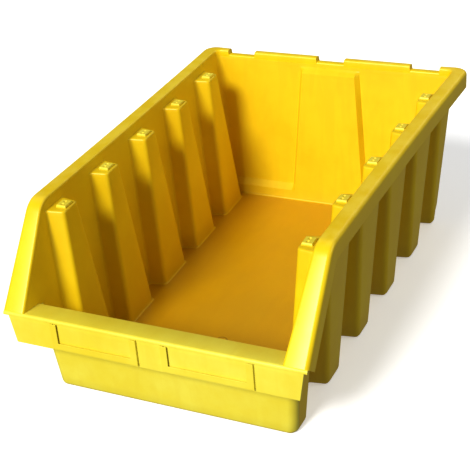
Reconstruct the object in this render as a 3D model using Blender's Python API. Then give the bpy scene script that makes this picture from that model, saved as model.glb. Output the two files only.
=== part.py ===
"""Stackable storage bin: an open-fronted yellow polypropylene bin with hollow pilasters along both sides.

Metres, +Z up. The open front faces -Y, the sides face -X (left) and +X (right), and the origin is on the
ground under the middle of the bin. The real bin is one moulding; here each region of that moulding is its own
solid, with SEAM of clearance to its neighbours.
"""

import math

import bmesh
import bpy
from mathutils import Vector

# Overall size
LENGTH = 0.500
HEIGHT = 0.187
HALF_WIDTH_FRONT = 0.1557
HALF_WIDTH_REAR = 0.1665

# Moulding
WALL = 0.003
SEAM = 0.0003
DRAFT = 0.085  # inward lean of every upright wall, per metre of height
FLOOR = 0.003
FLOOR_INSET = 0.0015  # the floor stops short of the walls' outer faces and leaves a stepped foot

# Side walls and rim
RIM_OVERHANG = 0.0135  # from the wall's outer face to the rim's outer edge, at the top
SKIRT = 0.019
RIM_ROUND = 0.004
KNEE_Y = -0.1813
KNEE_RADIUS = 0.024
FRONT_HEIGHT = 0.1012

# Pilasters, the hollow columns pushed into the bin
PILASTERS = 5
PILASTER_PITCH = 0.0857
FIRST_PILASTER_Y = -0.163
PILASTER_TOP = 0.175
PILASTER_DEPTH = 0.019
PILASTER_FACE_TOP = 0.025  # length of the inner face along Y, at the top
PILASTER_SPLAY = 0.16  # growth of that length per metre downwards
PILASTER_FLARE = 0.16  # growth of the half length per metre outwards
LUG_LENGTH = 0.0105
LUG_WIDTH = 0.010
LUG_HEIGHT = 0.004

# Front
FRONT_FOOT_Y = -0.2183
FRONT_LEAN = 0.075
LIP_FALL = 0.117  # fall of the lip's top towards the inside, per metre
LIP_ROUND = 0.0025
PANEL_FRONT_Y = -0.2478
PANEL_LOW = 0.0665
PANEL_HALF_TOP = 0.151
PANEL_HALF_LOW = 0.146
FRAME_NEAR = 0.0125
FRAME_FAR = 0.104
FRAME_LOW = 0.0687
FRAME_TOP = 0.0965
FRAME_STRIP = 0.0068
FRAME_PROUD = 0.0019

# Back
BACK_FOOT_Y = 0.2231
BACK_PROUD = 0.0072  # how far the centre panel and the base strip stand into the bin
BACK_PANEL_HALF_LOW = 0.0462
BACK_PANEL_NARROWING = 0.0775
BACK_PANEL_SIDE = 0.004
BACK_PANEL_BEVEL_LOW = 0.166
BACK_PANEL_TOP = 0.175
BASE_STRIP_TOP = 0.015
LEDGE_TOP = 0.0215
NOTCH_HALF = 0.017
NOTCH_OFFSET = 0.116
NOTCH_DEPTH = 0.0055
CORNER_Y = 0.226
CORNER_RADIUS = 0.014
ARC_STEPS = 5

YELLOW = (0.90, 0.60, 0.02, 1.0)
SIDES = (("left", -1), ("right", 1))
HALF_LENGTH = LENGTH / 2
WALL_FOOT = FLOOR + SEAM
BAND_LOW = PILASTER_TOP + SEAM
BAND_TOP = HEIGHT - WALL - SEAM
NOTCH_WALL_TOP = BAND_TOP - NOTCH_DEPTH
RIM_SLOPE = (HEIGHT - FRONT_HEIGHT) / (KNEE_Y + HALF_LENGTH)


def clear_scene():
    for item in list(bpy.data.objects):
        bpy.data.objects.remove(item, do_unlink=True)


def yellow_polypropylene():
    material = bpy.data.materials.new("yellow_polypropylene")
    material.use_nodes = True
    shader = material.node_tree.nodes["Principled BSDF"]
    shader.inputs["Base Color"].default_value = YELLOW
    shader.inputs["Roughness"].default_value = 0.42
    shader.inputs["Metallic"].default_value = 0.0
    return material


def add_node(name, shape, material):
    """Makes a bmesh into a named object with its faces pointing out."""
    bmesh.ops.recalc_face_normals(shape, faces=shape.faces)
    mesh = bpy.data.meshes.new(name)
    shape.to_mesh(mesh)
    shape.free()
    node = bpy.data.objects.new(name, mesh)
    node.data.materials.append(material)
    bpy.context.scene.collection.objects.link(node)
    return node


def convex(name, points, material):
    """A convex solid around the given corners."""
    shape = bmesh.new()
    corners = [shape.verts.new(point) for point in points]
    bmesh.ops.convex_hull(shape, input=corners)
    bmesh.ops.dissolve_limit(shape, angle_limit=0.002, verts=shape.verts, edges=shape.edges)
    return add_node(name, shape, material)


def loft(name, rings, material):
    """A solid through closed rings of points, with a flat cap at each end."""
    shape = bmesh.new()
    loops = [[shape.verts.new(point) for point in ring] for ring in rings]
    count = len(rings[0])
    for lower, upper in zip(loops, loops[1:]):
        for i in range(count):
            j = (i + 1) % count
            shape.faces.new((lower[i], lower[j], upper[j], upper[i]))
    shape.faces.new(loops[0][::-1])
    shape.faces.new(loops[-1])
    return add_node(name, shape, material)


def rim_half(y):
    """Half width at the rim's outer edge."""
    share = (y + HALF_LENGTH) / LENGTH
    return HALF_WIDTH_FRONT + (HALF_WIDTH_REAR - HALF_WIDTH_FRONT) * share


def wall_outer(y, z):
    return rim_half(y) - RIM_OVERHANG - DRAFT * (HEIGHT - z)


def wall_inner(y, z):
    return wall_outer(y, z) - WALL


def pilaster_face(y, z):
    return wall_inner(y, z) - PILASTER_DEPTH


def pilaster_half(z, depth):
    """Half length of a pilaster at height z, at a depth outwards from its inner face."""
    return PILASTER_FACE_TOP / 2 + PILASTER_SPLAY / 2 * (PILASTER_TOP - z) + PILASTER_FLARE * depth


def pilaster_y(index):
    return FIRST_PILASTER_Y + PILASTER_PITCH * index


def front_outer(z):
    return FRONT_FOOT_Y - FRONT_LEAN * z


def front_inner(z):
    return front_outer(z) + WALL


def back_inner(z):
    return BACK_FOOT_Y + DRAFT * z


def back_outer(z):
    return back_inner(z) + WALL


def back_raised(z):
    return back_inner(z) - BACK_PROUD


def lip_top(y):
    return FRONT_HEIGHT - LIP_FALL * (y + HALF_LENGTH)


def wall_corner(side, y_edge, z, outer):
    """A corner of a side wall plate; y_edge gives its edge's y for a depth outwards and a height."""
    depth = PILASTER_DEPTH + (WALL if outer else 0.0)
    y = y_edge(depth, z)
    x = wall_outer(y, z) if outer else wall_inner(y, z)
    return (side * x, y, z)


def before_pilaster(index):
    """The edge of a wall plate that ends in front of a pilaster."""
    return lambda depth, z: pilaster_y(index) - pilaster_half(z, depth) - SEAM


def after_pilaster(index):
    """The edge of a wall plate that starts behind a pilaster."""
    return lambda depth, z: pilaster_y(index) + pilaster_half(z, depth) + SEAM


def wall_plate(name, side, front_edge, rear_edge, low, high, material):
    points = [wall_corner(side, edge, z, outer)
              for edge in (front_edge, rear_edge) for z in (low, high) for outer in (False, True)]
    return convex(name, points, material)


def make_floor(material):
    """Flat floor whose outline runs out under the pillars and in around the hollow pilasters."""
    def outline(z, inset):
        points = []
        for side in (1, -1):
            run = [(wall_outer(front_outer(z), z) - inset, front_outer(z) + inset)]
            for index in range(PILASTERS):
                y = pilaster_y(index)
                near = pilaster_half(z, 0.0) - inset
                far = pilaster_half(z, PILASTER_DEPTH + WALL) - inset
                face = pilaster_face(y, z) + inset
                wall = wall_outer(y, z) - inset
                run += [(wall, y - far), (face, y - near), (face, y + near), (wall, y + far)]
            rear = back_raised(z) + WALL - inset
            run += [(wall_outer(rear, z) - inset, rear)]
            points += [(side * x, y, z) for x, y in run[::side]]
        return points

    foot_bevel = 0.0008
    rings = [outline(0.0, FLOOR_INSET + foot_bevel), outline(foot_bevel, FLOOR_INSET), outline(FLOOR, FLOOR_INSET)]
    return loft("floor_panel", rings, material)


def make_front_wall(material):
    top = lip_top(front_inner(FRONT_HEIGHT)) - WALL - SEAM
    points = []
    for z in (WALL_FOOT, top):
        for y in (front_outer(z), front_inner(z)):
            points += [(side * wall_outer(y, z), y, z) for side in (-1, 1)]
    return convex("front_wall", points, material)


def make_front_lip(material):
    """Lip over the front wall: rounded at the front, falling a little towards the inside."""
    centre_y = -HALF_LENGTH + LIP_ROUND
    centre_z = FRONT_HEIGHT - LIP_ROUND
    nose = []
    for step in range(ARC_STEPS + 1):
        angle = math.pi / 2 * (1 + step / ARC_STEPS)
        nose.append((centre_y + LIP_ROUND * math.cos(angle), centre_z + LIP_ROUND * math.sin(angle)))
    rear = front_inner(FRONT_HEIGHT)
    under_front = FRONT_HEIGHT - WALL
    profile = [(rear, lip_top(rear)), *nose, (-HALF_LENGTH, under_front), (rear, lip_top(rear) - WALL)]
    end = HALF_WIDTH_FRONT - WALL - 2 * SEAM
    rings = [[(side * end, y, z) for y, z in profile] for side in (-1, 1)]
    return loft("front_lip", rings, material)


def make_label_panel(material):
    """Apron that hangs from the lip's front edge and carries the two label frames."""
    top = lip_top(PANEL_FRONT_Y + WALL) - WALL - SEAM
    points = []
    for y in (PANEL_FRONT_Y, PANEL_FRONT_Y + WALL):
        for z, half in ((PANEL_LOW, PANEL_HALF_LOW), (top, PANEL_HALF_TOP)):
            points += [(-half, y, z), (half, y, z)]
    return convex("label_panel", points, material)


def make_label_frame(name, side, material):
    """U-shaped raised frame, open at the top, that holds one label."""
    inner_near = FRAME_NEAR + FRAME_STRIP
    inner_far = FRAME_FAR - FRAME_STRIP
    inner_low = FRAME_LOW + FRAME_STRIP
    outline = [(FRAME_NEAR, FRAME_TOP), (FRAME_NEAR, FRAME_LOW), (FRAME_FAR, FRAME_LOW), (FRAME_FAR, FRAME_TOP),
               (inner_far, FRAME_TOP), (inner_far, inner_low), (inner_near, inner_low), (inner_near, FRAME_TOP)]
    rear = PANEL_FRONT_Y - SEAM
    rings = [[(side * x, y, z) for x, z in outline] for y in (rear - FRAME_PROUD, rear)]
    return loft(name, rings, material)


def rim_section(side, inner, outer, normal, skirt):
    """Cross-section of the rim: flat flange, rounded outer edge and a skirt turned down.

    inner and outer are (x, y) on the top surface with their heights; normal is the flange's upward normal.
    """
    inner = Vector(inner)
    outer = Vector(outer)
    outward = (outer - inner).normalized()
    down = -Vector(normal)
    edge = outer - outward * RIM_ROUND
    ring = [inner]
    for step in range(ARC_STEPS + 1):
        angle = math.pi / 2 * step / ARC_STEPS
        ring.append(edge + outward * RIM_ROUND * math.sin(angle) + down * RIM_ROUND * (1 - math.cos(angle)))
    ring.append(outer + down * skirt)
    ring.append(outer - outward * WALL + down * skirt)
    ring.append(outer - outward * WALL + down * WALL)
    ring.append(inner + down * WALL)
    return [(side * point.x, point.y, point.z) for point in ring]


def make_side_rim(name, side, start, end, material):
    """Level stretch of the side rim."""
    rings = []
    for y in (start, end):
        inner = (wall_inner(y, HEIGHT), y, HEIGHT)
        outer = (rim_half(y), y, HEIGHT)
        rings.append(rim_section(side, inner, outer, (0, 0, 1), SKIRT))
    return loft(name, rings, material)


def knee_end():
    """Where the knee's arc meets the level rim."""
    tilt = math.atan(RIM_SLOPE)
    return KNEE_Y + KNEE_RADIUS * math.tan(tilt / 2)


def make_slanted_rim(name, side, material):
    """Rim from the front lip up to the knee and round its arc."""
    tilt = math.atan(RIM_SLOPE)
    first_y = -HALF_LENGTH + 0.0018
    stations = [(first_y, FRONT_HEIGHT + RIM_SLOPE * (first_y + HALF_LENGTH), tilt)]
    centre_y = knee_end()
    centre_z = HEIGHT - KNEE_RADIUS
    for step in range(ARC_STEPS + 2):
        angle = tilt * (1 - step / (ARC_STEPS + 1))
        y = centre_y - KNEE_RADIUS * math.sin(angle)
        stations.append((y, centre_z + KNEE_RADIUS * math.cos(angle), angle))
    rings = []
    for y, z, angle in stations:
        inner = (wall_inner(y, z), y, z)
        outer = (rim_half(y), y, z)
        normal = (0, -math.sin(angle), math.cos(angle))
        rings.append(rim_section(side, inner, outer, normal, SKIRT))
    return loft(name, rings, material)


def make_rear_corner_rim(name, side, material):
    """Rim round the rear corner, up to the first notch of the rear rim."""
    start_y = CORNER_Y - CORNER_RADIUS
    centre_y = HALF_LENGTH - CORNER_RADIUS
    centre_x = rim_half(centre_y) - CORNER_RADIUS
    inner_y = back_inner(HEIGHT)
    inner_x = wall_inner(inner_y, HEIGHT)
    inner_corner = Vector((inner_x, inner_y, HEIGHT))
    rings = [rim_section(side, (wall_inner(start_y, HEIGHT), start_y, HEIGHT),
                         (rim_half(start_y), start_y, HEIGHT), (0, 0, 1), SKIRT)]
    inner_round = 0.004
    for step in range(ARC_STEPS + 1):
        angle = math.pi / 2 * step / ARC_STEPS
        turn = Vector((math.cos(angle), math.sin(angle), 0))
        outer = Vector((centre_x, centre_y, HEIGHT)) + turn * CORNER_RADIUS
        inner = inner_corner + (turn - Vector((1, 1, 0))) * inner_round
        rings.append(rim_section(side, inner, outer, (0, 0, 1), SKIRT))
    end_x = NOTCH_OFFSET + NOTCH_HALF + SEAM
    rings.append(rim_section(side, (end_x, inner_y, HEIGHT), (end_x, HALF_LENGTH, HEIGHT), (0, 0, 1), SKIRT))
    return loft(name, rings, material)


def make_rear_rim(name, low_x, high_x, top, skirt, material):
    """Straight stretch of the rear rim between two x positions."""
    inner_y = back_inner(HEIGHT)
    rings = [rim_section(1, (x, inner_y, top), (x, HALF_LENGTH, top), (0, 0, 1), skirt) for x in (low_x, high_x)]
    return loft(name, rings, material)


def make_side_band(name, side, material):
    """Plain wall above the pilasters and pillars, under the level rim."""
    front_top = knee_end() - SEAM
    front_low = knee_end() - 0.016
    points = []
    for y, z in ((front_low, BAND_LOW), (front_top, BAND_TOP)):
        points += [(side * wall_inner(y, z), y, z), (side * wall_outer(y, z), y, z)]
    for z in (BAND_LOW, BAND_TOP):
        y = back_outer(z)
        points += [(side * wall_inner(y, z), y, z), (side * wall_outer(y, z), y, z)]
    return convex(name, points, material)


def make_front_cheek(name, side, material):
    """Wall between the lip's level and the slanted rim."""
    flange_drop = (WALL + 2 * SEAM) * math.hypot(1, RIM_SLOPE)
    clear = 2 * SEAM

    def under_rim(y):
        return FRONT_HEIGHT + RIM_SLOPE * (y + HALF_LENGTH) - flange_drop

    def over_lip(y):
        return lip_top(y) + clear

    tip = -HALF_LENGTH + (flange_drop + clear) / (RIM_SLOPE + LIP_FALL)
    lip_rear = front_inner(FRONT_HEIGHT)
    low = over_lip(lip_rear)
    top_front = -HALF_LENGTH + (PILASTER_TOP - SEAM - FRONT_HEIGHT + flange_drop) / RIM_SLOPE
    points = []
    for y, z in ((tip, over_lip(tip)), (lip_rear, low), (top_front, under_rim(top_front))):
        points += [(side * wall_inner(y, z), y, z), (side * wall_outer(y, z), y, z)]
    for z in (low, PILASTER_TOP - SEAM):
        points += [wall_corner(side, before_pilaster(0), z, outer) for outer in (False, True)]
    return convex(name, points, material)


def make_front_side_wall(name, side, material):
    """Side wall from the front wall to the first pilaster, below the lip's level."""
    high = lip_top(front_inner(FRONT_HEIGHT)) + SEAM
    return wall_plate(name, side, lambda depth, z: front_inner(z) + SEAM, before_pilaster(0),
                      WALL_FOOT, high, material)


def make_pillar(name, side, index, material):
    """Outer wall of the pocket between two pilasters."""
    return wall_plate(name, side, after_pilaster(index), before_pilaster(index + 1),
                      WALL_FOOT, PILASTER_TOP, material)


def make_rear_side_wall(name, side, material):
    """Side wall behind the last pilaster."""
    return wall_plate(name, side, after_pilaster(PILASTERS - 1), lambda depth, z: back_outer(z),
                      WALL_FOOT, PILASTER_TOP, material)


def make_pilaster(name, side, index, material):
    """Hollow column: inner face, two webs and a closed top, open outwards and below."""
    centre = pilaster_y(index)
    deep = PILASTER_DEPTH + WALL

    def corner(depth, half, z):
        y = centre + half
        return (side * (pilaster_face(y, z) + depth), y, z)

    def ring(near_depth, far_depth, thickness, z):
        near = pilaster_half(z, near_depth) - thickness
        far = pilaster_half(z, far_depth) - thickness
        return [corner(near_depth, -near, z), corner(near_depth, near, z),
                corner(far_depth, far, z), corner(far_depth, -far, z)]

    shape = bmesh.new()
    outer_low = [shape.verts.new(p) for p in ring(0.0, deep, 0.0, WALL_FOOT)]
    outer_top = [shape.verts.new(p) for p in ring(0.0, deep, 0.0, PILASTER_TOP)]
    inner_low = [shape.verts.new(p) for p in ring(WALL, deep, WALL, WALL_FOOT)]
    inner_top = [shape.verts.new(p) for p in ring(WALL, deep, WALL, PILASTER_TOP - WALL)]
    a, b, c, d = range(4)
    shape.faces.new(outer_top)
    shape.faces.new(inner_top)
    shape.faces.new((outer_low[a], outer_low[b], outer_low[c], inner_low[c],
                     inner_low[b], inner_low[a], inner_low[d], outer_low[d]))
    shape.faces.new((outer_low[c], outer_top[c], outer_top[d], outer_low[d],
                     inner_low[d], inner_top[d], inner_top[c], inner_low[c]))
    for first, second in ((a, b), (b, c), (d, a)):
        shape.faces.new((outer_low[first], outer_low[second], outer_top[second], outer_top[first]))
        shape.faces.new((inner_low[first], inner_low[second], inner_top[second], inner_top[first]))
    return add_node(name, shape, material)


def make_lug(name, side, index, material):
    """Small stacking lug on a pilaster's top, near its inner face."""
    centre = pilaster_y(index)
    low = PILASTER_TOP + SEAM
    high = low + LUG_HEIGHT
    margin = 0.0008
    taper = 0.0006
    points = []
    for z, shrink in ((low, 0.0), (high, taper)):
        x = pilaster_face(centre, PILASTER_TOP) + margin + shrink
        far = x + LUG_LENGTH - 2 * shrink
        for y in (centre - LUG_WIDTH / 2 + shrink, centre + LUG_WIDTH / 2 - shrink):
            points += [(side * x, y, z), (side * far, y, z)]
    return convex(name, points, material)


def back_panel_half(z):
    return BACK_PANEL_HALF_LOW - BACK_PANEL_NARROWING * z


def panel_side(y, z):
    """Half width of the centre panel's sloped side at depth y."""
    share = (y - back_raised(z)) / (BACK_PROUD + WALL)
    return back_panel_half(z) + BACK_PANEL_SIDE * share


def make_back_panel(material):
    """Centre panel pushed into the bin, hollow behind, with a bevel that runs out into the wall above."""
    shape = bmesh.new()
    levels = ((WALL_FOOT, BACK_PROUD), (BACK_PANEL_BEVEL_LOW, BACK_PROUD), (BACK_PANEL_TOP, 0.0),
              (NOTCH_WALL_TOP, 0.0))
    shell = []
    for z, proud in levels:
        front = back_inner(z) - proud
        half = panel_side(front, z)
        foot = panel_side(back_outer(z), z)
        row = ((-foot, back_outer(z)), (-half, front), (half, front), (foot, back_outer(z)))
        shell.append([shape.verts.new((x, y, z)) for x, y in row])
    pocket = []
    for z in (WALL_FOOT, BACK_PANEL_BEVEL_LOW):
        core = back_panel_half(z) - WALL
        mouth = panel_side(back_outer(z), z) - WALL
        row = ((-mouth, back_outer(z)), (-core, back_raised(z) + WALL), (core, back_raised(z) + WALL),
               (mouth, back_outer(z)))
        pocket.append([shape.verts.new((x, y, z)) for x, y in row])
    mouth = panel_side(back_outer(BACK_PANEL_TOP), BACK_PANEL_TOP) - WALL
    edge = [shape.verts.new((x, back_outer(BACK_PANEL_TOP), BACK_PANEL_TOP)) for x in (-mouth, mouth)]

    for lower, upper in zip(shell, shell[1:]):
        for i in range(3):
            shape.faces.new((lower[i], lower[i + 1], upper[i + 1], upper[i]))
    low, high = pocket
    for i in range(3):
        shape.faces.new((low[i], low[i + 1], high[i + 1], high[i]))
    shape.faces.new((high[1], high[2], edge[1], edge[0]))
    shape.faces.new((high[0], high[1], edge[0]))
    shape.faces.new((high[3], high[2], edge[1]))
    shape.faces.new(shell[-1])
    shape.faces.new((*shell[0], *pocket[0][::-1]))
    shape.faces.new((*[row[0] for row in shell], *[row[3] for row in shell[::-1]],
                     low[3], high[3], edge[1], edge[0], high[0], low[0]))
    return add_node("back_centre_panel", shape, material)


def make_back_field(name, side, material):
    """Plain back wall between a side wall and the centre panel, stepped down under the rim's notches."""
    step = NOTCH_WALL_TOP + SEAM
    centre_end = NOTCH_HALF + SEAM
    notch_near = NOTCH_OFFSET - NOTCH_HALF - SEAM
    notch_far = NOTCH_OFFSET + NOTCH_HALF + SEAM
    low = LEDGE_TOP + SEAM

    def ring(surface):
        def beside_panel(z):
            return (panel_side(surface(z), z) + SEAM, z)

        def beside_wall(z):
            return (wall_inner(surface(z), z) - SEAM, z)

        outline = (beside_panel(low), beside_panel(step), (centre_end, step), (centre_end, BAND_TOP),
                   (notch_near, BAND_TOP), (notch_near, NOTCH_WALL_TOP), (notch_far, NOTCH_WALL_TOP),
                   (notch_far, BAND_TOP), beside_wall(BAND_TOP), beside_wall(low))
        return [(side * x, surface(z), z) for x, z in outline]

    return loft(name, [ring(back_inner), ring(back_outer)], material)


def make_back_ledge(name, side, material):
    """Base strip in the centre panel's plane, with the sloped ledge up to the back wall."""
    profile = [(back_raised(WALL_FOOT), WALL_FOOT), (back_raised(BASE_STRIP_TOP), BASE_STRIP_TOP),
               (back_inner(LEDGE_TOP), LEDGE_TOP), (back_outer(LEDGE_TOP), LEDGE_TOP),
               (back_outer(LEDGE_TOP - WALL), LEDGE_TOP - WALL),
               (back_raised(BASE_STRIP_TOP - WALL) + WALL, BASE_STRIP_TOP - WALL / 2),
               (back_raised(WALL_FOOT) + WALL, WALL_FOOT)]
    near = [(side * (panel_side(y, z) + SEAM), y, z) for y, z in profile]
    far = [(side * (wall_inner(y, z) - SEAM), y, z) for y, z in profile]
    return loft(name, [near, far], material)


def make_side(side_name, side, material):
    make_slanted_rim(f"{side_name}_slanted_rim", side, material)
    make_side_rim(f"{side_name}_side_rim", side, knee_end() + SEAM, CORNER_Y - CORNER_RADIUS - SEAM, material)
    make_rear_corner_rim(f"{side_name}_rear_corner_rim", side, material)
    make_side_band(f"{side_name}_side_band", side, material)
    make_front_cheek(f"{side_name}_front_cheek", side, material)
    make_front_side_wall(f"{side_name}_front_side_wall", side, material)
    make_rear_side_wall(f"{side_name}_rear_side_wall", side, material)
    for index in range(PILASTERS - 1):
        make_pillar(f"{side_name}_pillar_{index + 1}", side, index, material)
    for index in range(PILASTERS):
        make_pilaster(f"{side_name}_pilaster_{index + 1}", side, index, material)
        make_lug(f"{side_name}_stacking_lug_{index + 1}", side, index, material)
    make_label_frame(f"{side_name}_label_frame", side, material)
    make_back_field(f"{side_name}_back_wall", side, material)
    make_back_ledge(f"{side_name}_back_ledge", side, material)
    low_x = NOTCH_HALF + SEAM
    high_x = NOTCH_OFFSET - NOTCH_HALF - SEAM
    ends = sorted((side * low_x, side * high_x))
    make_rear_rim(f"{side_name}_rear_rim", *ends, HEIGHT, SKIRT, material)


def make_rear_notches(material):
    """Low stretches of the rear rim, where it is notched."""
    for name, centre in (("left", -NOTCH_OFFSET), ("centre", 0.0), ("right", NOTCH_OFFSET)):
        low_x = centre - NOTCH_HALF
        high_x = centre + NOTCH_HALF
        make_rear_rim(f"{name}_rear_notch", low_x, high_x, HEIGHT - NOTCH_DEPTH, SKIRT - NOTCH_DEPTH, material)


def main():
    clear_scene()
    material = yellow_polypropylene()
    make_floor(material)
    make_front_wall(material)
    make_front_lip(material)
    make_label_panel(material)
    make_back_panel(material)
    make_rear_notches(material)
    for side_name, side in SIDES:
        make_side(side_name, side, material)


main()
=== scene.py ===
"""Looks of the open-fronted stacking bin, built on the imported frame.

The bin is one moulding of yellow polypropylene, so its walls, floor, rim and lip are drawn as continuous
moulded sheets over the frame's separate regions. Every sheet is a grid of points worked out with numpy from
formulas in metres: x across the bin, y from the open front to the back, z up.
"""
import math

import bmesh
import bpy
import numpy as np
from mathutils import Matrix, Vector


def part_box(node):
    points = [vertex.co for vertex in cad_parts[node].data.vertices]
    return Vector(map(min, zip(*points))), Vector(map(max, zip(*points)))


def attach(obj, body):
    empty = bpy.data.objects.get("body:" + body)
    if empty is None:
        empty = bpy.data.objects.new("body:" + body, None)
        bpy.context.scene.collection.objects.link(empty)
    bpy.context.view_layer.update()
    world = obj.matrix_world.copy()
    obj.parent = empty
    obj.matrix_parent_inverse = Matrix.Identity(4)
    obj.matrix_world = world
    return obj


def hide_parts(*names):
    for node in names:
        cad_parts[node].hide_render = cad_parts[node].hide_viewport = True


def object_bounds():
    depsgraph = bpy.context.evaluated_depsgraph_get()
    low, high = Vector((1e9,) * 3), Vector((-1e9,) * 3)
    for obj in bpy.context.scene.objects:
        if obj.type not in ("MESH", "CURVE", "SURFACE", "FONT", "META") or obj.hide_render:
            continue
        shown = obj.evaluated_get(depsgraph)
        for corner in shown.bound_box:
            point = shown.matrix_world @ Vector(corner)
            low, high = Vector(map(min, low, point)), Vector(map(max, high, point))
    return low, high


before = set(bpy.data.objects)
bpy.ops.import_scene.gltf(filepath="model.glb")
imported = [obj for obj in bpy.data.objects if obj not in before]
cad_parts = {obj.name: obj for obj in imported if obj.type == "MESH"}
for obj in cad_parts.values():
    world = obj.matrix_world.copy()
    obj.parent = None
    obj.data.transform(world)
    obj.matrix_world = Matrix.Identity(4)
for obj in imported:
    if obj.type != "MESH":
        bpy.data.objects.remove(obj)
cad_low, cad_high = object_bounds()

# Sizes that the frame's boxes don't give
WALL = 0.003
DRAFT = 0.085
RIM_OVERHANG = 0.0135
RIM_ROUND = 0.0042
BOW = 0.0022  # how far the long sides sag inwards at mid length, at the top
PILASTERS = 5
PILASTER_DEPTH = 0.019
PILASTER_FACE_TOP = 0.025
PILASTER_SPLAY = 0.16
PILASTER_FLARE = 0.16
CORNER_ROUND = 0.007
FRONT_CORNER_ROUND = 0.006
RIM_CORNER = 0.014
FRONT_LEAN = 0.075
FOOT_FILLET = 0.0016
BACK_PROUD = 0.0072
BACK_PANEL_HALF_LOW = 0.0462
BACK_PANEL_NARROWING = 0.0775
BACK_PANEL_RETURN = 0.0044
BACK_PANEL_BEVEL = 0.0060
BASE_STRIP_TOP = 0.015
FACE_FILLET = 0.0042  # along the pilasters' front edges
ROOT_FILLET = 0.0030  # where a pilaster rises from the wall
CAP_FILLET = 0.0022
RIM_SEAT = 0.0028  # how far below the rim's top the walls run in behind it
KNEE_RADIUS = 0.024
LUG_REACH = 0.0056
LUG_SPREAD = 0.0068
LUG_RISE = 0.0031
LIP_FALL = 0.117
LIP_ROUND = 0.0026
LIP_THICKNESS = 0.0028
UNDER_LIP = 0.0045  # how far below the front's height the front wall and the side walls' front ends stop
MOULD_EDGE = 0.0013
CORNER_BESIDE_STRIP = 0.0028
KNEE_SETBACK = 0.0115
INNER_RIM_LEG = 0.0036
RIM_PAST_LIP = 0.0036
FLOOR_CLEARANCE = 0.00003

# Sizes from the frame
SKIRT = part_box("right_side_rim")[1][2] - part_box("right_side_rim")[0][2]
FRONT, BACK, TOP = float(cad_low[1]), float(cad_high[1]), float(cad_high[2])
FLOOR_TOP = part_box("floor_panel")[1][2]
LIP_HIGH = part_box("front_lip")[1]
PANEL_LOW, PANEL_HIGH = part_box("label_panel")
FRONT_HEIGHT = LIP_HIGH[2]
RIM_FRONT = LIP_HIGH[0] + RIM_PAST_LIP
RIM_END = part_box("right_side_rim")[1]
RIM_SPREAD = (RIM_END[0] - RIM_FRONT) / (RIM_END[1] - FRONT)
PILASTER_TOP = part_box("left_pilaster_1")[1][2]
PILASTER_Y = [(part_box(f"left_pilaster_{n}")[0][1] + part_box(f"left_pilaster_{n}")[1][1]) / 2
              for n in range(1, PILASTERS + 1)]
LEDGE_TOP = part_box("left_back_ledge")[1][2]
BACK_PANEL_TOP = PILASTER_TOP
KNEE_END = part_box("right_slanted_rim")[1][1]
NOTCH_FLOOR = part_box("centre_rear_notch")[1][2]
NOTCHES = [(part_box(name)[0][0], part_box(name)[1][0])
           for name in ("right_rear_notch", "centre_rear_notch", "left_rear_notch")]
FRONT_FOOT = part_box("floor_panel")[0][1] - 0.0015
BACK_FOOT = 0.2231
RIM_SLOPE = (TOP - FRONT_HEIGHT) / (KNEE_END - KNEE_SETBACK - FRONT)


# Shapes

def sheet(name, points, flip=False, loop=False):
    """A surface over a grid of points, points[row, column] = (x, y, z); coincident corners become one.

    loop joins each row's last column to its first, and flip turns the faces over.
    """
    rows, columns = points.shape[:2]
    index = np.arange(rows * columns).reshape(rows, columns)
    right = np.roll(index, -1, axis=1) if loop else index[:, 1:]
    left = index if loop else index[:, :-1]
    quads = np.stack([left[:-1], right[:-1], right[1:], left[1:]], axis=-1).reshape(-1, 4)
    if flip:
        quads = quads[:, ::-1]
    mesh = bpy.data.meshes.new(name)
    mesh.from_pydata(points.reshape(-1, 3).tolist(), [], quads.tolist())
    return tidy(name, mesh)


def loft(name, rings):
    """A closed solid through rings[ring, corner] = (x, y, z), with a flat face at each end."""
    count, corners = rings.shape[:2]
    index = np.arange(count * corners).reshape(count, corners)
    after = np.roll(index, -1, axis=1)
    quads = np.stack([index[:-1], after[:-1], after[1:], index[1:]], axis=-1).reshape(-1, 4)
    faces = quads.tolist() + [index[0][::-1].tolist(), index[-1].tolist()]
    mesh = bpy.data.meshes.new(name)
    mesh.from_pydata(rings.reshape(-1, 3).tolist(), [], faces)
    return tidy(name, mesh, closed=True)


def tidy(name, mesh, closed=False):
    """Merges coincident corners, shades smooth and puts the mesh in the scene."""
    shape = bmesh.new()
    shape.from_mesh(mesh)
    bmesh.ops.remove_doubles(shape, verts=shape.verts, dist=0.00002)
    bmesh.ops.dissolve_degenerate(shape, edges=shape.edges, dist=0.00001)
    if closed:
        bmesh.ops.recalc_face_normals(shape, faces=shape.faces)
    shape.to_mesh(mesh)
    shape.free()
    mesh.polygons.foreach_set("use_smooth", np.ones(len(mesh.polygons), dtype=bool))
    piece = bpy.data.objects.new(name, mesh)
    bpy.context.scene.collection.objects.link(piece)
    return piece


def thicken(piece, thickness=WALL):
    """Gives a sheet its wall thickness, away from the side that its faces look to."""
    solid = piece.modifiers.new("wall thickness", "SOLIDIFY")
    solid.thickness = thickness
    solid.offset = -1.0
    solid.use_even_offset = True
    return piece


def soften(piece, width, segments=3, angle=28.0):
    """Rounds the sharp edges as a mould does."""
    bevel = piece.modifiers.new("mould radius", "BEVEL")
    bevel.width = width
    bevel.segments = segments
    bevel.limit_method = "ANGLE"
    bevel.angle_limit = math.radians(angle)
    bevel.harden_normals = True
    return piece


def rim_half(y):
    """Half width at the rim's outer edge: straight taper from the front to the back, less the bow."""
    share = (y - FRONT) / (BACK - FRONT)
    return RIM_FRONT + RIM_SPREAD * (y - FRONT) - BOW * 4 * share * (1 - share)


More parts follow.
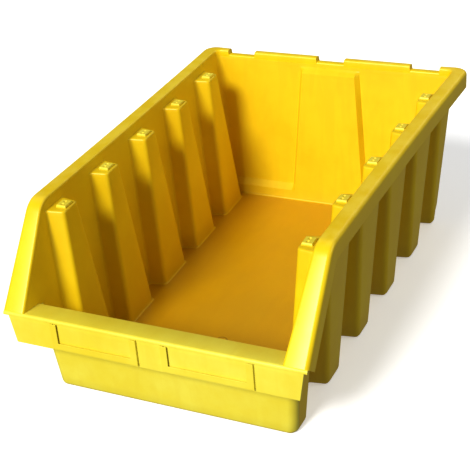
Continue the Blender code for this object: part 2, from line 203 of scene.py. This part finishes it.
def wall_x(y, z):
    """Half width at the side wall's inner face: under the rim, leaning in by DRAFT per metre downwards."""
    share = (y - FRONT) / (BACK - FRONT)
    straight = RIM_FRONT + RIM_SPREAD * (y - FRONT) - RIM_OVERHANG - WALL - DRAFT * (TOP - z)
    return straight - BOW * 4 * share * (1 - share) * z / TOP


def front_y(z):
    """Inner face of the front wall."""
    return FRONT_FOOT - FRONT_LEAN * z + WALL


def back_y(z):
    """Inner face of the back wall, away from its raised panel."""
    return BACK_FOOT + DRAFT * z


def lip_z(y):
    return FRONT_HEIGHT - LIP_FALL * (y - FRONT)


def front_edge(z):
    """y where the side wall ends at height z: at the front wall, then along the slanted rim and its knee."""
    low = front_y(z) + FRONT_CORNER_ROUND
    slant = FRONT + (z - FRONT_HEIGHT + WALL * math.hypot(1, RIM_SLOPE)) / RIM_SLOPE
    inner_radius = KNEE_RADIUS - WALL
    rise = np.clip(z - (TOP - KNEE_RADIUS), 0, inner_radius)
    arc = KNEE_END - np.sqrt(inner_radius ** 2 - rise ** 2)
    high = np.where(z > PILASTER_TOP, np.maximum(arc, slant), slant)
    under_lip = FRONT_HEIGHT - UNDER_LIP
    return np.where(z < under_lip, low, np.minimum(high, KNEE_END))


def side_plan(z, limit, grow, shrink=0.0):
    """One side wall from front to back, as columns of x and y for rows z.

    Between pilasters the depth is 0; across a pilaster it rises over a web to PILASTER_DEPTH. Each edge is
    rounded by a quadratic curve that leaves the first run at r before the edge and joins the second at r
    after it: for t from 0 to 1, point = edge - (1 - t)^2 r u + t^2 r v, with u and v the runs' directions.
    limit scales the depth and shrink narrows the pilaster, which together close its top. grow moves the
    face into the bin.
    """
    first = front_edge(z)
    root = PILASTER_Y[0] - PILASTER_FACE_TOP / 2 - PILASTER_FLARE * PILASTER_DEPTH
    root = root - PILASTER_SPLAY / 2 * (PILASTER_TOP - z) - grow
    shares = np.array([[0.0, 0.35, 0.7]])
    ys = [first + (root - first) * shares]
    depths = [np.zeros((1, 3)) + 0 * z]
    slope = math.hypot(1, PILASTER_FLARE)
    t = np.linspace(0, 1, 6)[None, :]
    face_y = -(1 - t) ** 2 * FACE_FILLET * PILASTER_FLARE / slope + t ** 2 * FACE_FILLET
    face_depth = PILASTER_DEPTH - (1 - t) ** 2 * FACE_FILLET / slope + 0 * z
    last = back_y(z) - BACK_PROUD * base_relief(z) - grow - corner_round(z) - 0.0004
    for n, centre in enumerate(PILASTER_Y):
        face = PILASTER_FACE_TOP / 2 + PILASTER_SPLAY / 2 * (PILASTER_TOP - z) + grow - shrink
        foot = face + PILASTER_FLARE * PILASTER_DEPTH
        leg = np.clip(last - centre - foot, 0.0002, ROOT_FILLET)
        foot_y = leg * (-(1 - t) ** 2 + t ** 2 * PILASTER_FLARE / slope)
        foot_depth = leg * t ** 2 / slope
        edge = np.concatenate([foot_y - foot, face_y - face], axis=1)
        ys.append(np.concatenate([centre + edge, centre + 0 * face, centre - edge[:, ::-1]], axis=1))
        rise = np.concatenate([foot_depth, face_depth], axis=1)
        depths.append(np.concatenate([rise, PILASTER_DEPTH + 0 * face, rise[:, ::-1]], axis=1))
        if n + 1 < PILASTERS:
            ys.append((centre + PILASTER_Y[n + 1]) / 2 + 0 * face)
            depths.append(0 * face)
    y = np.maximum(np.concatenate(ys, axis=1), first)
    depth = np.concatenate(depths, axis=1) * limit / PILASTER_DEPTH
    return wall_x(y, z) - depth - grow, y


def base_relief(z):
    return np.interp(z, [BASE_STRIP_TOP, LEDGE_TOP], [1.0, 0.0])


def panel_relief(z):
    return np.interp(z, [BACK_PANEL_TOP - BACK_PANEL_BEVEL, BACK_PANEL_TOP], [1.0, 0.0])


def corner_round(z):
    """Radius of the rear corners, tighter beside the base strip so the last pilaster's foot has room."""
    return np.interp(z, [BASE_STRIP_TOP, LEDGE_TOP], [CORNER_BESIDE_STRIP, CORNER_ROUND])


def back_plan(z, grow):
    """The rear corner's arc and half of the back wall up to the middle of its raised panel."""
    strip = back_y(z) - BACK_PROUD * base_relief(z) - grow
    turn = np.linspace(0, np.pi / 2, 6)[None, :]
    radius = corner_round(z)
    centre_y = strip - radius
    centre_x = wall_x(centre_y, z) - grow - radius
    x = centre_x + radius * np.cos(turn)
    y = centre_y + radius * np.sin(turn)
    edge = BACK_PANEL_HALF_LOW - BACK_PANEL_NARROWING * z
    raised = back_y(z) - BACK_PROUD * np.maximum(base_relief(z), panel_relief(z)) - grow
    x = np.concatenate([x, edge + BACK_PANEL_RETURN, edge, 0 * edge], axis=1)
    y = np.concatenate([y, strip, raised, raised], axis=1)
    return x, y


def mirrored(half, joined=True):
    """A run of points and its mirror image in x, on the way back; joined leaves out the shared middle one."""
    other = half[:, ::-1] * np.array([-1.0, 1.0, 1.0])
    return np.concatenate([half, other[:, 1:] if joined else other], axis=1)


def wall_rows():
    """The wall's rows: height, pilasters' depth limit, growth at the floor fillet, shrink at the cap."""
    deep = PILASTER_DEPTH
    turn = np.linspace(0, np.pi / 2, 4)
    foot = FLOOR_TOP + FLOOR_CLEARANCE
    rows = [(foot + FOOT_FILLET * (1 - np.cos(a)), deep, FOOT_FILLET * (1 - np.sin(a)), 0.0) for a in turn]
    bends = [BASE_STRIP_TOP, LEDGE_TOP, 0.045, 0.070, FRONT_HEIGHT - 0.0062, FRONT_HEIGHT - 0.0032,
             0.120, 0.145, BACK_PANEL_TOP - BACK_PANEL_BEVEL]
    rows += [(z, deep, 0.0, 0.0) for z in bends]
    rows += [(PILASTER_TOP - (1 - t) ** 2 * CAP_FILLET, deep - t ** 2 * CAP_FILLET, 0.0, t ** 2 * CAP_FILLET)
             for t in np.linspace(0, 1, 6)]
    rows += [(PILASTER_TOP, 0.0, 0.0, CAP_FILLET)]
    rows += [(z, 0.0, 0.0, CAP_FILLET) for z in (0.1785, 0.1815, TOP - RIM_SEAT)]
    return np.array(rows)


def make_walls():
    """Both side walls with their pilasters, the rear corners and the back wall, as one sheet."""
    rows = wall_rows()
    z, limit, grow, shrink = (rows[:, k:k + 1] for k in range(4))
    side_x, side_y = side_plan(z, limit, grow, shrink)
    back_x, back_yy = back_plan(z, grow)
    x = np.concatenate([side_x, back_x], axis=1)
    y = np.concatenate([side_y, back_yy], axis=1)
    corner = back_x.shape[1] - 3
    sunk = np.concatenate([np.zeros(side_x.shape[1]), np.linspace(0, 1, corner), np.ones(3)])
    half = np.stack([x, y, np.minimum(z, TOP - RIM_SEAT - (TOP - NOTCH_FLOOR) * sunk[None, :])], axis=-1)
    return soften(thicken(sheet("moulded_walls", mirrored(half), flip=True)), MOULD_EDGE)


def make_front_wall():
    """The set-back front wall, turning a rounded corner into each side wall."""
    rows = wall_rows()
    rows = rows[rows[:, 0] < FRONT_HEIGHT - UNDER_LIP]
    z, grow = rows[:, 0:1], rows[:, 2:3]
    face = front_y(z) + grow
    turn = np.linspace(0, np.pi / 2, 6)[None, :]
    start = face + FRONT_CORNER_ROUND
    side = wall_x(start, z) - grow
    x = side - FRONT_CORNER_ROUND * (1 - np.cos(turn))
    y = start - FRONT_CORNER_ROUND * np.sin(turn)
    x = np.concatenate([x, 0.5 * side, 0 * side], axis=1)
    y = np.concatenate([y, face, face], axis=1)
    half = np.stack([x, y, z + 0 * x], axis=-1)
    return thicken(sheet("front_wall_sheet", mirrored(half)))


def make_floor():
    """The floor: rings that follow the foot of the walls, drawn in a little at the ground."""
    edge = 0.0014
    rings = []
    for height, out in ((0.0, edge - 0.0009), (0.0009, edge), (FLOOR_TOP, edge)):
        z = np.array([[height]])
        grow = np.array([[-out]])
        side_x, side_y = side_plan(z, PILASTER_DEPTH, grow)
        back_x, back_yy = back_plan(z, grow)
        start = front_y(z) + FRONT_CORNER_ROUND
        turn = np.linspace(np.pi / 2, 0, 6)[None, :-1]
        front_x = wall_x(start, z) - grow - FRONT_CORNER_ROUND * (1 - np.cos(turn))
        front_yy = start - (FRONT_CORNER_ROUND + out) * np.sin(turn)
        x = np.concatenate([front_x, side_x, back_x], axis=1)
        y = np.concatenate([front_yy, side_y, back_yy], axis=1)
        ring = mirrored(np.stack([x, y, z + 0 * x], axis=-1))
        rings.append(ring[0])
    return soften(loft("moulded_floor", np.array(rings)), 0.0003, segments=2)


def rim_profile(inner, outer, down, leg, skirt):
    """The rim's visible cross-section at every station, as points[station, step].

    It starts on the wall's inner face, rounds over to the flange, runs out, rounds down and ends at the
    skirt's edge. Each step is inner or outer plus an amount along the outward and the downward direction.
    """
    across = outer - inner
    across = across / np.linalg.norm(across, axis=1, keepdims=True)
    steps = []
    proud = 0.00012
    inner_round = 0.0022
    steps.append(inner - across * proud + down * leg[:, None])
    for turn in np.linspace(0, np.pi / 2, 5):
        steps.append(inner + across * (inner_round * (1 - math.cos(turn)) - proud)
                     + down * inner_round * (1 - math.sin(turn)))
    steps.append((inner + outer) / 2 + down * 0.0001)
    for turn in np.linspace(0, np.pi / 2, 7):
        steps.append(outer - across * RIM_ROUND * (1 - math.sin(turn))
                     + down * RIM_ROUND * (1 - math.cos(turn)))
    steps.append(outer + down * (skirt[:, None] * 0.6))
    steps.append(outer + down * skirt[:, None])
    return np.stack(steps, axis=1)


def rim_stations():
    """Half of the rim's path, from the right front end to the middle of the back."""
    tilt = math.atan(RIM_SLOPE)
    first = FRONT + 0.0006
    last = KNEE_END - KNEE_RADIUS * math.sin(tilt)
    slant = np.linspace(first, last, 7)
    stations = [(y, FRONT_HEIGHT + RIM_SLOPE * (y - FRONT), tilt) for y in slant]
    for share in np.linspace(0, 1, 8)[1:]:
        angle = tilt * (1 - share)
        knee_y = KNEE_END - KNEE_RADIUS * math.sin(angle)
        knee_z = TOP - KNEE_RADIUS * (1 - math.cos(angle))
        stations.append((knee_y, knee_z, angle))
    centre_y = BACK - RIM_CORNER
    stations += [(y, TOP, 0.0) for y in np.linspace(KNEE_END, centre_y, 14)[1:]]
    y, z, angle = np.array(stations).T
    inner = np.stack([wall_x(y, z), y, z], axis=1)
    outer = np.stack([rim_half(y), y, z], axis=1)
    down = np.stack([0 * y, np.sin(angle), -np.cos(angle)], axis=1)
    leg = np.full(len(y), INNER_RIM_LEG)
    skirt = np.full(len(y), SKIRT)

    wall_y = back_y(TOP)
    turn = np.linspace(0, np.pi / 2, 8)
    arc = np.stack([np.cos(turn), np.sin(turn), 0 * turn], axis=1)
    outer_centre = np.array([rim_half(centre_y) - RIM_CORNER, centre_y, TOP])
    inner_y = wall_y - CORNER_ROUND
    inner_centre = np.array([wall_x(inner_y, TOP) - CORNER_ROUND, inner_y, TOP])
    inner = np.concatenate([inner[:-1], inner_centre + arc * CORNER_ROUND])
    outer = np.concatenate([outer[:-1], outer_centre + arc * RIM_CORNER])
    long_leg = INNER_RIM_LEG + TOP - NOTCH_FLOOR
    leg = np.concatenate([leg[:-1], np.linspace(INNER_RIM_LEG, long_leg, 8)])
    skirt = np.concatenate([skirt[:-1], np.full(8, SKIRT)])

    ramp = 0.0007
    rear = []
    for low, high in NOTCHES[:2]:
        rear += [(high + ramp, 0.0), (high, 1.0)]
        rear += [(low, 1.0), (low - ramp, 0.0)] if low > 0 else [(0.0, 1.0)]
    x, sunk = np.array(rear).T
    z = TOP - (TOP - NOTCH_FLOOR) * sunk
    inner = np.concatenate([inner, np.stack([x, wall_y + 0 * x, z], axis=1)])
    outer = np.concatenate([outer, np.stack([x, BACK + 0 * x, z], axis=1)])
    down = np.concatenate([down, np.tile([0.0, 0.0, -1.0], (len(inner) - len(down), 1))])
    leg = np.concatenate([leg, long_leg - (TOP - NOTCH_FLOOR) * sunk])
    skirt = np.concatenate([skirt, SKIRT - (TOP - NOTCH_FLOOR) * sunk])
    return rim_profile(inner, outer, down, leg, skirt)


def make_rim():
    """The turned-down rim, carried along both sides and the back."""
    half = rim_stations()
    points = mirrored(np.swapaxes(half, 0, 1))
    return soften(thicken(sheet("moulded_rim", points, flip=True)), 0.0006, segments=2, angle=50)


def make_lip():
    """Front lip and the apron below it: a profile in y and z, carried across the bin.

    The profile's own half width shrinks from the lip to the apron's lower edge.
    """
    rear = LIP_HIGH[1]
    nose_y, nose_z = FRONT + LIP_ROUND, FRONT_HEIGHT - LIP_ROUND
    rear_z = lip_z(rear)
    profile = [(rear, rear_z - 0.0028, 0), (rear, rear_z - 0.0012, 0), (rear - 0.0004, rear_z - 0.0003, 0),
               (rear - 0.0012, rear_z, 0), (rear - 0.014, lip_z(rear - 0.014), 0)]
    for turn in np.linspace(0, np.pi / 2, 6):
        profile.append((nose_y - LIP_ROUND * math.sin(turn), nose_z + LIP_ROUND * math.cos(turn), 0))
    apron_y = PANEL_LOW[1]
    step_z = PANEL_HIGH[2]
    profile += [(FRONT, step_z + 0.0004, 0), (apron_y + 0.0002, step_z - 0.0006, 1)]
    profile += [(apron_y, step_z - 0.0016, 1)]
    profile += [(apron_y, z, 1) for z in np.linspace(step_z - 0.006, PANEL_LOW[2], 5)]
    y, z, apron = np.array(profile).T
    lip_half = np.where(y > FRONT + 0.003, LIP_HIGH[0] - 0.0004, LIP_HIGH[0] + 0.0028)
    panel_top, panel_low = PANEL_HIGH[0], PANEL_HIGH[0] - 0.005
    apron_half = panel_low + (panel_top - panel_low) * (z - PANEL_LOW[2]) / (PANEL_HIGH[2] - PANEL_LOW[2])
    half = np.where(apron > 0, apron_half, lip_half)
    across = np.linspace(-1, 1, 15)
    points = np.stack([half[:, None] * across, y[:, None] + 0 * across, z[:, None] + 0 * across], axis=-1)
    lip = thicken(sheet("lip_and_apron", points, flip=True), LIP_THICKNESS)
    return soften(lip, 0.0007, segments=2, angle=40)


def make_label_frame(side):
    """U-shaped label frame whose inner edge stands clear of the apron, so a card slides in behind it."""
    low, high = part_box(f"{side}_label_frame")
    sign = -1 if side == "left" else 1
    near, far = sorted((abs(low[0]), abs(high[0])))
    strip = 0.0068
    foot = 0.0030

    def outline(width):
        return [(near, high[2]), (near, low[2]), (far, low[2]), (far, high[2]), (far - width, high[2]),
                (far - width, low[2] + width), (near + width, low[2] + width), (near + width, high[2])]

    face, rear = low[1], PANEL_LOW[1] + 0.0003
    slot = face + 0.0006
    rings = []
    for y, width in ((rear, foot), (slot, foot), (slot, strip), (face, strip)):
        rings.append([(sign * x, y, z) for x, z in outline(width)])
    return soften(loft(f"{side}_card_holder", np.array(rings)), 0.0003, segments=2)


def make_lugs(side):
    """The stacking lugs of one side: low pads with rounded flanks and two small dimples each.

    Height over a square of u and v is flat inside and falls smoothly to nothing at the edges.
    """
    u, v = np.meshgrid(np.linspace(-1, 1, 41), np.linspace(-1, 1, 49), indexing="ij")

    def flank(t):
        s = np.clip((1 - np.abs(t)) / 0.2, 0, 1)
        return np.sqrt(np.clip(1 - (1 - s) ** 2, 0, 1))

    height = flank(u) * flank(v)
    for centre in (-0.4, 0.4):
        far = np.hypot(u + 0.05, v - centre)
        height = height - 0.72 * np.clip(1 - (far / 0.27) ** 4, 0, 1)
    pieces = []
    for n in range(1, PILASTERS + 1):
        low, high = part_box(f"{side}_stacking_lug_{n}")
        x = (low[0] + high[0]) / 2 + LUG_REACH * u
        y = (low[1] + high[1]) / 2 + LUG_SPREAD * v
        z = PILASTER_TOP - 0.0003 + LUG_RISE * height
        piece = sheet(f"{side}_lug_{n}", np.stack([x, y, z], axis=-1), flip=True)
        pieces.append(thicken(piece, 0.0002))
    return pieces


def make_gate_mark():
    """The round mark that the mould's gate leaves in the floor: a thin low ring."""
    radius, x, y = 0.0062, -0.002, -0.101
    turn = np.linspace(0, 2 * np.pi, 49)[:-1]
    profile = np.array([(1.0, 0.0), (0.96, 0.00022), (0.86, 0.00022), (0.82, 0.0)])
    ring = profile[:, :1] * radius
    z = FLOOR_TOP + profile[:, 1:] + 0 * turn
    points = np.stack([x + ring * np.cos(turn), y + ring * np.sin(turn), z], axis=-1)
    return thicken(sheet("gate_mark", points, loop=True), 0.0002)


# Finish

class Socket:
    """A shader value that takes part in ordinary arithmetic; each operation adds a node."""

    def __init__(self, tree, output):
        self.tree = tree
        self.output = output

    def node(self, kind, settings=None, **values):
        made = self.tree.nodes.new(kind)
        for key, value in (settings or {}).items():
            setattr(made, key, value)
        for key, value in values.items():
            socket = made.inputs[int(key[1:])] if key[1:].isdigit() else made.inputs[key.replace("_", " ")]
            if isinstance(value, Socket):
                self.tree.links.new(value.output, socket)
            else:
                socket.default_value = value
        return made

    def maths(self, operation, other=0.0, swap=False):
        first, second = (other, self) if swap else (self, other)
        made = self.node("ShaderNodeMath", {"operation": operation}, _0=first, _1=second)
        return Socket(self.tree, made.outputs[0])

    def __add__(self, other):
        return self.maths("ADD", other)

    __radd__ = __add__

    def __mul__(self, other):
        return self.maths("MULTIPLY", other)

    __rmul__ = __mul__

    def __sub__(self, other):
        return self.maths("SUBTRACT", other)

    def __rsub__(self, other):
        return self.maths("SUBTRACT", other, swap=True)

    def ramp(self, low, high):
        """0 at low, 1 at high, smooth between."""
        made = self.node("ShaderNodeMapRange", {"interpolation_type": "SMOOTHSTEP"}, Value=self, From_Min=low,
                         From_Max=high)
        return Socket(self.tree, made.outputs[0])

    def noise(self, scale, detail=3.0, roughness=0.55, distortion=0.0):
        made = self.node("ShaderNodeTexNoise", None, Vector=self, Scale=scale, Detail=detail,
                         Roughness=roughness, Distortion=distortion)
        return Socket(self.tree, made.outputs["Fac"])

    def stretch(self, scale):
        made = self.node("ShaderNodeMapping", None, Vector=self, Scale=scale)
        return Socket(self.tree, made.outputs[0])

    def blend(self, low, high):
        """Mixes two colours by this value."""
        made = self.node("ShaderNodeMix", {"data_type": "RGBA"}, _0=self, _6=low, _7=high)
        return Socket(self.tree, made.outputs[2])


def polypropylene(name, wear_and_top_highlight=0.5, low_darkening=0.0, rough=0.40, tone=(0.89, 0.68, 0.012)):
    """Moulded yellow polypropylene: cloudy colour, fine grain, flow ripples, rubs and scratches, patches that
    darken towards the bottom, and a painted highlight along the top.
    """
    material = bpy.data.materials.new(name)
    material.use_nodes = True
    tree = material.node_tree
    shader = tree.nodes["Principled BSDF"]
    place = Socket(tree, tree.nodes.new("ShaderNodeTexCoord").outputs["Object"])
    height = Socket(tree, place.node("ShaderNodeSeparateXYZ", None, Vector=place).outputs["Z"])

    cloud = place.noise(7.0, 4.0, 0.6)
    mottle = place.noise(46.0, 5.0, 0.65)
    flow = place.stretch((22.0, 4.0, 4.0)).noise(3.2, 3.0, 0.5, 0.8)
    grain = place.noise(1450.0, 2.0, 0.6)
    pebble = place.noise(420.0, 3.0, 0.55)
    scratch_a = place.stretch((18.0, 260.0, 260.0)).noise(4.0, 4.0, 0.7, 0.35).ramp(0.645, 0.73)
    scratch_b = place.stretch((240.0, 14.0, 200.0)).noise(4.5, 4.0, 0.7, 0.35).ramp(0.65, 0.735)
    worn = place.noise(15.0, 4.0, 0.6).ramp(0.42, 0.66)
    rub = (scratch_a + scratch_b) * worn * wear_and_top_highlight
    # Painted highlight: a paler, speckled band along the top of the rim stands in for the light its upward
    # face catches. The strength that sets the rubs also sets this band.
    painted_top_highlight = height.ramp(TOP - 0.004, TOP + 0.0004) * mottle.ramp(0.38, 0.62) * wear_and_top_highlight
    # Patches that grow darker towards the bottom of the bin, strongest on the floor.
    low_dark_patches = (1.0 - height.ramp(FLOOR_TOP, 0.028)) * cloud.ramp(0.3, 0.62) * low_darkening

    red, green, blue = tone
    pale, deep = (red, green, blue, 1), (red * 0.95, green * 0.89, blue * 0.5, 1)
    colour = (0.65 * cloud + 0.35 * mottle).ramp(0.34, 0.68).blend(deep, pale)
    colour = (flow.ramp(0.4, 0.7) * 0.3).blend(colour, (red * 0.92, green * 0.83, blue * 0.5, 1))
    colour = low_dark_patches.blend(colour, (0.60, 0.34, 0.012, 1))
    colour = (rub * 0.5).blend(colour, (0.97, 0.80, 0.16, 1))
    # Painted highlight along the rim's top.
    colour = (painted_top_highlight * 0.4).blend(colour, (0.95, 0.76, 0.13, 1))
    tree.links.new(colour.output, shader.inputs["Base Color"])
    roughness = rough + 0.10 * (mottle - 0.5) + 0.16 * rub + 0.07 * painted_top_highlight + 0.10 * low_dark_patches
    tree.links.new(roughness.output, shader.inputs["Roughness"])
    shader.inputs["IOR"].default_value = 1.49
    shader.inputs["Specular IOR Level"].default_value = 0.5

    relief = grain * 0.000012 + pebble * 0.000030 + flow * 0.00005 + mottle * 0.00005 - rub * 0.00003
    bump = relief.node("ShaderNodeBump", None, Height=relief, Distance=1.0, Strength=0.55)
    tree.links.new(bump.outputs["Normal"], shader.inputs["Normal"])
    return material


def paint(piece, material):
    piece.data.materials.clear()
    piece.data.materials.append(material)
    return piece


def pale_floor():
    """Wide studio floor under the bin."""
    size = 14.0
    across = np.linspace(-size, size, 9)
    x, y = np.meshgrid(across, across, indexing="ij")
    ground = sheet("studio_floor", np.stack([x, y, 0 * x - 0.0004], axis=-1), flip=True)
    material = bpy.data.materials.new("studio paper")
    material.use_nodes = True
    shader = material.node_tree.nodes["Principled BSDF"]
    shader.inputs["Base Color"].default_value = (0.93, 0.93, 0.93, 1)
    shader.inputs["Roughness"].default_value = 0.9
    shader.inputs["Emission Color"].default_value = (1, 1, 1, 1)
    shader.inputs["Emission Strength"].default_value = 0.42
    ground.visible_diffuse = False
    ground.visible_glossy = False
    paint(ground, material)


def soft_light(name, toward, distance, size, energy):
    """A square soft box that looks at the bin from a direction."""
    lamp = bpy.data.lights.new(name, "AREA")
    lamp.size = size
    lamp.energy = energy
    holder = bpy.data.objects.new(name, lamp)
    direction = Vector(toward).normalized()
    target = Vector((0, 0, 0.08))
    holder.location = target + direction * distance
    holder.rotation_euler = direction.to_track_quat("Z", "Y").to_euler()
    bpy.context.scene.collection.objects.link(holder)


def key_light(toward, strength, angle):
    """A broad, even light from one direction."""
    lamp = bpy.data.lights.new("key", "SUN")
    lamp.energy = strength
    lamp.angle = math.radians(angle)
    holder = bpy.data.objects.new("key", lamp)
    holder.rotation_euler = Vector(toward).normalized().to_track_quat("Z", "Y").to_euler()
    bpy.context.scene.collection.objects.link(holder)


def studio():
    world = bpy.data.worlds.new("studio")
    bpy.context.scene.world = world
    world.use_nodes = True
    world.node_tree.nodes["Background"].inputs["Color"].default_value = (1, 1, 1, 1)
    world.node_tree.nodes["Background"].inputs["Strength"].default_value = 0.22
    key_light((-0.16, -0.93, 0.74), 3.0, 16.0)
    soft_light("front_fill", (-0.25, -1.0, 0.22), 2.4, 1.4, 17)
    soft_light("rim_gloss", (0.2, 1.0, 0.75), 2.4, 1.2, 5)
    soft_light("side_sheen", (1.0, 0.25, 0.55), 2.2, 0.9, 8)
    bpy.context.scene.view_settings.view_transform = "Standard"
    bpy.context.scene.view_settings.gamma = 0.80


def make_camera():
    """Looks at the bin from in front, to the right and above."""
    yaw, pitch, roll = (math.radians(a) for a in (-26.42, -28.92, -4.74))
    ahead = Vector((math.sin(yaw) * math.cos(pitch), math.cos(yaw) * math.cos(pitch), math.sin(pitch)))
    right = ahead.cross(Vector((0, 0, 1))).normalized()
    up = right.cross(ahead)
    tilted_right = math.cos(roll) * right + math.sin(roll) * up
    tilted_up = -math.sin(roll) * right + math.cos(roll) * up
    turn = Matrix((tilted_right, tilted_up, -ahead)).transposed().to_4x4()
    lens = bpy.data.cameras.new("camera")
    lens.sensor_width = 36.0
    lens.lens = 88.79
    lens.clip_start = 0.05
    lens.clip_end = 60.0
    camera = bpy.data.objects.new("camera", lens)
    camera.matrix_world = Matrix.Translation((0.46567, -0.9907, 0.68159)) @ turn
    bpy.context.scene.collection.objects.link(camera)
    bpy.context.scene.camera = camera


def dress(piece, material, *nodes):
    paint(piece, material)
    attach(piece, "root")
    if nodes:
        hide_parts(*nodes)


def main():
    wall_look = polypropylene("yellow PP walls", wear_and_top_highlight=0.35, low_darkening=0.25, tone=(0.85, 0.64, 0.012))
    # The floor's darker, more orange tone is painted shade: the upward floor catches less of the lamps' light
    # and takes the walls' yellow bounce.
    shaded_floor_look = polypropylene("yellow PP floor, painted shade", wear_and_top_highlight=0.7, low_darkening=0.5, rough=0.36, tone=(0.73, 0.45, 0.003))
    rim_look = polypropylene("yellow PP rim", wear_and_top_highlight=0.8, rough=0.36)
    # The front wall, lip and apron get a paler tone. This is painted light: a lit copy of the wall material
    # for the faces that look to the lamps.
    lit_front_look = polypropylene("yellow PP front, painted light", wear_and_top_highlight=0.6, rough=0.42, tone=(0.87, 0.78, 0.11))
    gate_look = polypropylene("yellow PP gate mark", wear_and_top_highlight=0.2, tone=(0.42, 0.24, 0.003))
    small_look = polypropylene("yellow PP small details", wear_and_top_highlight=0.5, rough=0.40, tone=(0.87, 0.76, 0.09))

    parts = ["side_band", "front_cheek", "front_side_wall", "rear_side_wall", "back_wall", "back_ledge"]
    parts += [f"pillar_{n}" for n in range(1, PILASTERS)]
    parts += [f"pilaster_{n}" for n in range(1, PILASTERS + 1)]
    sides = [f"{side}_{part}" for side in ("left", "right") for part in parts]
    dress(make_walls(), wall_look, *sides, "back_centre_panel")
    dress(make_front_wall(), lit_front_look, "front_wall")
    dress(make_floor(), shaded_floor_look, "floor_panel")
    dress(make_gate_mark(), gate_look)
    rims = [f"{side}_{part}" for side in ("left", "right")
            for part in ("slanted_rim", "side_rim", "rear_corner_rim", "rear_rim", "rear_notch")]
    dress(make_rim(), rim_look, *rims, "centre_rear_notch")
    dress(make_lip(), lit_front_look, "front_lip", "label_panel")
    for side in ("left", "right"):
        dress(make_label_frame(side), small_look, f"{side}_label_frame")
        for n, lug in enumerate(make_lugs(side), 1):
            dress(lug, small_look, f"{side}_stacking_lug_{n}")
    pale_floor()
    studio()
    make_camera()


main()
